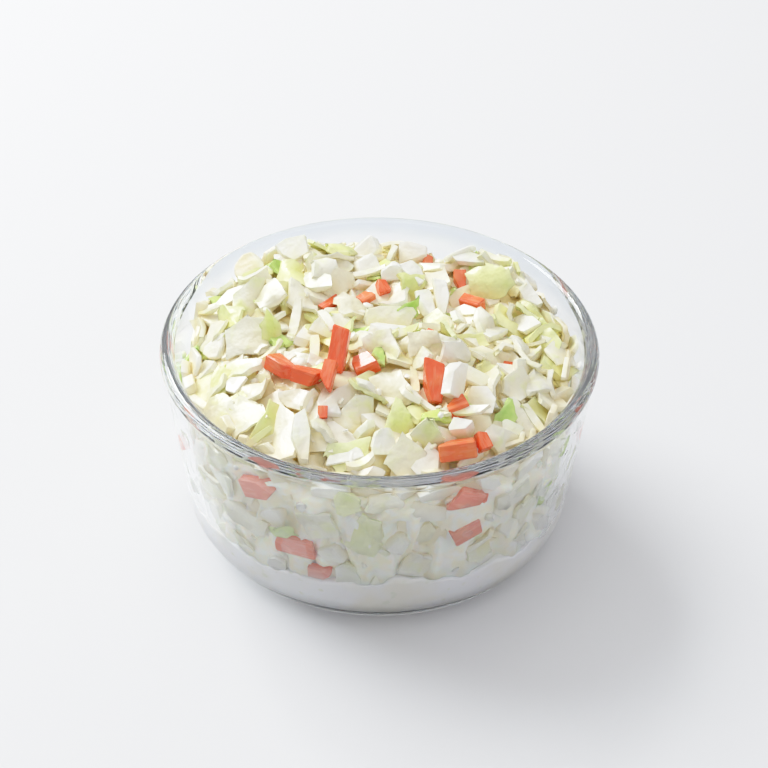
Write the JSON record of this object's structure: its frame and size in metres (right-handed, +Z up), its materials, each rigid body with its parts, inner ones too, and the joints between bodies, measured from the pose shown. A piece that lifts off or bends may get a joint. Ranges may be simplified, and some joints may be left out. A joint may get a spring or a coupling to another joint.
{
  "type": "coleslaw in a glass bowl",
  "caption": "Finely chopped cabbage and carrot salad in a thin creamy dressing, heaped just above the rim of a round clear glass bowl with a flat base, as a side dish",
  "frame": {"origin": "middle of the bowl's flat base, on the surface it stands on", "axes": "+Z up, along the bowl's axis; +Y away from the side that the dish is seen from; the bowl is round, and only the heap's lumps tell X from Y"},
  "size_m": [0.118, 0.118, 0.0651],
  "materials": {
    "glass": "gloss",
    "dressing": "gloss",
    "salad": "satin"
  },
  "bodies": {
    "root": {"bowl": "glass", "dressing": "dressing", "slaw": "salad"}
  },
  "joints": []
}
